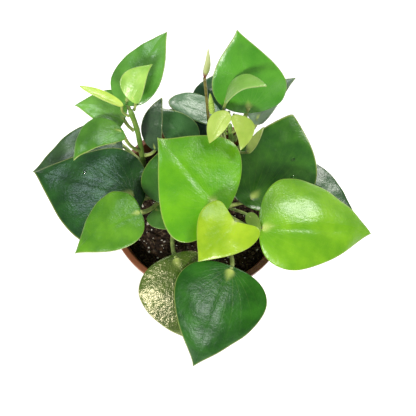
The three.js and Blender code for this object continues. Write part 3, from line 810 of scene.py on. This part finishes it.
def grow_leaf(name, greens, slot, stem, height, junction, tip, left, right, **shape):
    """One leaf as one mesh: its blade and its tapered petiole, with the finish's attributes, standing for the
    frame's node of the same name."""
    leaf = {**LEAF_DEFAULTS, "stem": stem, "height": height, "left": left, "right": right, **shape,
            "junction": np.array(junction, dtype=float), "tip": np.array(tip, dtype=float)}
    looks = [leaf[key] for key in ("veins", "gloss", "quilting", "specular", "shine")]
    finish = leaf_finish(name.replace("leaf_", "skin_"), *greens, LEAF_PALE, LEAF_EDGE, *looks)
    blade_points, blade_faces, reach, turn = blade_solid(leaf)
    t = np.linspace(0, 1, PETIOLE_STEPS)
    radii = leaf["petiole"] * (0.86 + 0.22 * np.exp(-((t / 0.08) ** 2)) + 0.12 * t**3)
    stalk_points, stalk_faces = tube(petiole_path(leaf), radii, PETIOLE_SIDES)
    points, faces = join_shapes((blade_points, blade_faces), (stalk_points, stalk_faces))
    piece = make_mesh(name.replace("leaf_", "grown_leaf_"), points, faces, finish)
    mesh = piece.data
    mesh.materials.append(petiole_finish)
    blade_count = sum(len(group) for group in blade_faces)
    mesh.polygons.foreach_set("material_index", (np.arange(len(mesh.polygons)) >= blade_count).astype(int))
    rest = len(stalk_points)
    half = len(blade_points) // 2
    below = np.concatenate([np.zeros(half), np.ones(len(blade_points) - half - 2), [0, 1], np.zeros(rest)])
    blade_values = {"reach": np.append(reach, np.zeros(rest)), "turn": np.append(turn, np.zeros(rest)),
                    "under": below}
    for label, values in blade_values.items():
        mesh.attributes.new(label, "FLOAT", "POINT").data.foreach_set("value", values.astype(np.float32))
    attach(piece, "root")
    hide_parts(name)
    return leaf


# ---------------------------------------------------------------- large outer leaves
# The oldest and largest blades, dark and very glossy, on long petioles that arch over the rim. Each is
# grown in one piece from low on the front, middle or left stem.
grow_leaf("leaf_front_large", (srgb(20, 60, 10), srgb(44, 96, 22)),
          "leaf_dark", stem="front", height=0.092, junction=(0.019, -0.053, 0.122),
          tip=(-0.004, -0.105, 0.084), left=0.029, right=0.029, back=0.004, notch=0.002, point=1.2, arch=35,
          cup=-25, roll=6, quilting=0.6, gloss=0.30, specular=0.25, shine=(0.86, 0.94, 1.0))
grow_leaf("leaf_front_left", (srgb(34, 62, 14), srgb(72, 96, 26)),
          "leaf_dark", stem="middle", height=0.092, junction=(-0.014, -0.044, 0.114),
          tip=(0.003, -0.093, 0.079), left=0.021, right=0.029, back=0.005, notch=0.002, arch=35, cup=-22,
          roll=4, quilting=0.9, gloss=0.20, specular=1.0, shine=(1.0, 0.90, 0.62))
grow_leaf("leaf_right_large", (srgb(84, 138, 14), srgb(116, 166, 26)),
          "leaf_green", stem="front", height=0.108, junction=(0.037, -0.031, 0.133),
          tip=(0.107, -0.027, 0.109), left=0.033, right=0.028, back=0.004, notch=0.002, sweep=0.004,
          point=0.9, arch=40, cup=-35, roll=-10)
left_large = grow_leaf("leaf_left_large", (srgb(18, 52, 18), srgb(40, 84, 28)),
          "leaf_dark", stem="middle", height=0.100, junction=(-0.042, -0.004, 0.117),
          tip=(-0.108, 0.016, 0.107), left=0.037, right=0.029, back=0.008, point=1.1, arch=25, cup=-15,
          quilting=0.7, shine=(0.82, 0.92, 1.0))
grow_leaf("leaf_left_front", (srgb(58, 108, 18), srgb(92, 144, 30)),
          "leaf_green", stem="middle", height=0.110, junction=(-0.035, -0.021, 0.133),
          tip=(-0.075, -0.042, 0.117), left=0.018, right=0.019, notch=0.002, sweep=-0.004, skew=-0.12,
          arch=20, cup=-15)
grow_leaf("leaf_left_back", (srgb(34, 62, 32), srgb(62, 90, 52)),
          "leaf_dark", stem="left", height=0.097, junction=(-0.056, 0.039, 0.105),
          tip=(-0.113, 0.021, 0.095), left=0.020, right=0.020, back=0.004, arch=15, cup=-10)
right_upright = grow_leaf("leaf_right_upright", (srgb(26, 70, 14), srgb(60, 108, 28)),
          "leaf_dark", stem="front", height=0.098, junction=(0.034, -0.001, 0.105),
          tip=(0.060, 0.049, 0.124), left=0.026, right=0.028, back=0.007, sweep=-0.005, point=0.45, cup=10,
          roll=-10)
grow_leaf("leaf_right_low", (srgb(30, 66, 36), srgb(58, 100, 56)),
          "leaf_dark", stem="right", height=0.096, junction=(0.062, 0.018, 0.103),
          tip=(0.104, -0.012, 0.092), left=0.015, right=0.016, arch=15, cup=-10)


# ---------------------------------------------------------------- centre leaves
# Younger bright green leaves that stand highest in the middle, on the front stem, and the small ones
# that they shade.
grow_leaf("leaf_centre_large", (srgb(70, 132, 4), srgb(96, 156, 10)),
          "leaf_green", stem="front", height=0.122, junction=(0.009, -0.020, 0.145),
          tip=(-0.024, 0.017, 0.155), left=0.031, right=0.033, back=0.009, skew=0.25, point=1.1, cup=-8)
grow_leaf("leaf_centre_heart", (srgb(112, 148, 14), srgb(146, 176, 34)),
          "leaf_young", stem="front", height=0.116, junction=(0.020, -0.035, 0.157),
          tip=(0.000, -0.055, 0.147), left=0.016, right=0.019, back=0.011, notch=0.011, skew=0.12,
          point=0.9, arch=20, cup=-15, rise=(0, 0, 1))
grow_leaf("leaf_centre_inner", (srgb(36, 80, 22), srgb(60, 108, 36)),
          "leaf_dark", stem="middle", height=0.112, junction=(-0.018, -0.009, 0.122),
          tip=(-0.016, 0.026, 0.130), left=0.019, right=0.013, point=0.5)
grow_leaf("leaf_centre_small_heart", (srgb(60, 104, 40), srgb(84, 130, 56)),
          "leaf_green", stem="middle", height=0.098, junction=(-0.028, -0.010, 0.108),
          tip=(-0.007, -0.020, 0.104), left=0.009, right=0.011, back=0.006, notch=0.005, point=0.9,
          thickness=0.001, petiole=0.001)
grow_leaf("leaf_centre_bud", (srgb(96, 128, 44), srgb(126, 156, 66)),
          "leaf_young", stem="front", height=0.122, junction=(0.0295, -0.026, 0.140),
          tip=(0.036, -0.034, 0.135), left=0.004, right=0.004, back=0.002, point=0.6, thickness=0.001,
          petiole=0.001)


# ---------------------------------------------------------------- left shoot
# The leaves of the tall left stem: five open ones of mixed age, a narrow rolled one at the tip and a
# dark folded one half way down.
grow_leaf("leaf_left_shoot_tall", (srgb(60, 112, 34), srgb(88, 142, 56)),
          "leaf_green", stem="left", height=0.166, junction=(-0.040, 0.030, 0.173),
          tip=(-0.017, 0.064, 0.190), left=0.015, right=0.014, back=0.002, sweep=0.002, skew=0.2, arch=20,
          cup=-15, thickness=0.0012, petiole=0.0012)
grow_leaf("leaf_left_shoot_young", (srgb(112, 158, 60), srgb(160, 196, 96)),
          "leaf_young", stem="left", height=0.174, junction=(-0.035, 0.025, 0.184),
          tip=(-0.024, 0.040, 0.195), left=0.008, right=0.006, back=0.0015, sweep=0.003, point=1.1, arch=20,
          cup=30, thickness=0.001, petiole=0.0009)
grow_leaf("leaf_left_shoot_back", (srgb(66, 120, 36), srgb(104, 156, 60)),
          "leaf_green", stem="left", height=0.150, junction=(-0.043, 0.026, 0.160),
          tip=(-0.072, 0.035, 0.160), left=0.011, right=0.015, back=0.0015, notch=0.001, sweep=-0.004,
          point=0.9, arch=20, cup=-15, thickness=0.0012, petiole=0.0012)
grow_leaf("leaf_left_shoot_front", (srgb(50, 98, 24), srgb(88, 140, 44)),
          "leaf_green", stem="left", height=0.125, junction=(-0.043, 0.015, 0.167),
          tip=(-0.070, 0.000, 0.160), left=0.010, right=0.011, back=0.002, notch=0.001, sweep=-0.008,
          point=0.6, arch=20, cup=-15, leave=70, rise=(-0.1, 0, 1), thickness=0.0012, petiole=0.0012)
grow_leaf("leaf_left_shoot_tip", (srgb(140, 174, 56), srgb(176, 200, 90)),
          "leaf_young", stem="left", height=0.170, junction=(-0.041, 0.023, 0.182),
          tip=(-0.062, 0.028, 0.193), left=0.0025, right=0.0025, back=0.001, point=0.2, arch=20, cup=30,
          thickness=0.0008, petiole=0.0008)
grow_leaf("leaf_left_shoot_folded", (srgb(26, 54, 32), srgb(54, 84, 52)),
          "leaf_dark", stem="left", height=0.112, junction=(-0.028, 0.024, 0.125),
          tip=(-0.022, 0.043, 0.155), left=0.007, right=0.006, back=0.0015, sweep=0.003, point=0.5, cup=20,
          thickness=0.0012, petiole=0.0012)


# ---------------------------------------------------------------- right shoot
# One tall leaf that stands upright at the back, one behind it seen from below, and the pale young leaves
# round the right stem's growing tip.
grow_leaf("leaf_back_tall", (srgb(58, 122, 28), srgb(84, 148, 44)),
          "leaf_green", stem="right", height=0.132, junction=(0.029, 0.035, 0.157),
          tip=(0.021, 0.062, 0.195), left=0.020, right=0.025, back=0.004, sweep=-0.001, skew=-0.25,
          point=1.2, cup=-12, rise=(0.2, 0.3, 1))
grow_leaf("leaf_back_right", (srgb(84, 104, 84), srgb(108, 128, 104)),
          "leaf_underside", stem="right", height=0.116, junction=(0.036, 0.039, 0.137),
          tip=(0.059, 0.060, 0.150), left=0.014, right=0.006, back=0.004, sweep=0.002, thickness=0.0012)
grow_leaf("leaf_right_shoot_curl", (srgb(104, 152, 56), srgb(140, 172, 100)),
          "leaf_young", stem="right", height=0.150, junction=(0.015, 0.030, 0.176),
          tip=(0.037, 0.032, 0.186), left=0.009, right=0.007, back=0.0015, sweep=0.003, point=0.6, arch=100,
          roll=20, rise=(0, 0, 1), thickness=0.001, petiole=0.0009)
grow_leaf("leaf_right_shoot_flap_left", (srgb(140, 168, 66), srgb(170, 192, 96)),
          "leaf_young", stem="right", height=0.149, junction=(0.016, 0.025, 0.169),
          tip=(0.006, 0.013, 0.155), left=0.006, right=0.006, back=0.001, sweep=-0.002, point=0.5, leave=60,
          thickness=0.001, petiole=0.0009)
grow_leaf("leaf_right_shoot_flap_right", (srgb(130, 158, 60), srgb(164, 186, 88)),
          "leaf_young", stem="right", height=0.148, junction=(0.0205, 0.0235, 0.168),
          tip=(0.024, 0.009, 0.154), left=0.007, right=0.005, back=0.001, sweep=0.004, point=0.5, leave=60,
          thickness=0.001, petiole=0.0009)
grow_leaf("leaf_right_shoot_narrow", (srgb(98, 118, 50), srgb(130, 148, 72)),
          "leaf_young", stem="right", height=0.125, junction=(0.029, 0.017, 0.135),
          tip=(0.038, 0.025, 0.153), left=0.0025, right=0.003, back=0.001, point=0.6, cup=10,
          thickness=0.0008, petiole=0.0008)


# ---------------------------------------------------------------- low leaves at the back
# Older leaves in the shade behind the centre, dark or with a dull grey-green face; that grey-green is a
# painted reflection of the pale sky.
# Its grey-green colours are a painted reflection of the pale sky on the blade.
grow_leaf("leaf_back_grey", (srgb(70, 104, 72), srgb(92, 124, 92)),
          "leaf_underside", stem="right", height=0.104, junction=(0.014, 0.050, 0.115),
          tip=(-0.020, 0.057, 0.127), left=0.010, right=0.010, back=0.002, sweep=-0.003, point=0.1, drip=0,
          thickness=0.0012, petiole=0.0012)
grow_leaf("leaf_back_dark", (srgb(28, 58, 36), srgb(50, 84, 52)),
          "leaf_dark", stem="right", height=0.098, junction=(0.010, 0.062, 0.104),
          tip=(0.013, 0.084, 0.118), left=0.014, right=0.010, back=0.002, sweep=0.003, point=0.7,
          thickness=0.0012, petiole=0.0012)
grow_leaf("leaf_back_left", (srgb(36, 72, 36), srgb(60, 98, 56)),
          "leaf_dark", stem="middle", height=0.107, junction=(-0.006, 0.030, 0.113),
          tip=(-0.026, 0.050, 0.131), left=0.010, right=0.013, back=0.002, point=0.7, cup=10,
          thickness=0.0012, petiole=0.0012)
grow_leaf("leaf_back_blue", (srgb(16, 50, 38), srgb(36, 76, 60)),
          "leaf_dark", stem="middle", height=0.098, junction=(0.001, 0.041, 0.103),
          tip=(-0.021, 0.058, 0.114), left=0.014, right=0.013, back=0.003, point=0.4, thickness=0.0012,
          petiole=0.0012)


# ---------------------------------------------------------------- water drops
# Three small drops of water lie on the dark leaves at the left and right.
drop_finish, _, _, shader = new_material("clear_water")
shader.inputs["Base Color"].default_value = (1.0, 1.0, 1.0, 1.0)
shader.inputs["Roughness"].default_value = 0.03
shader.inputs["IOR"].default_value = 1.33
shader.inputs["Transmission Weight"].default_value = 1.0


def water_drop(name, leaf, x, y, radius):
    """A flat dome on the blade point nearest to x, y seen from above: half an ellipsoid 0.6 radius high."""
    reach, turn = np.meshgrid(np.linspace(0.05, 0.9, 40), np.linspace(-np.pi, np.pi, 90))
    top = blade_surface(leaf, reach, turn, 0.0)
    seat = top.reshape(-1, 3)[np.argmin(np.hypot(top[..., 0] - x, top[..., 1] - y))]
    part = np.linspace(-0.5, 0.99, 10)
    path = seat + np.outer(part * radius * 0.6, leaf_axes(leaf)[2])
    drop = make_mesh(name, *tube(path, radius * np.sqrt(1 - part**2), 20), drop_finish)
    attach(drop, "root")


water_drop("left_water_drop", left_large, -0.073, 0.012, 0.0013)
water_drop("right_water_drop", right_upright, 0.060, 0.022, 0.0013)
water_drop("right_small_drop", right_upright, 0.060, 0.011, 0.0009)
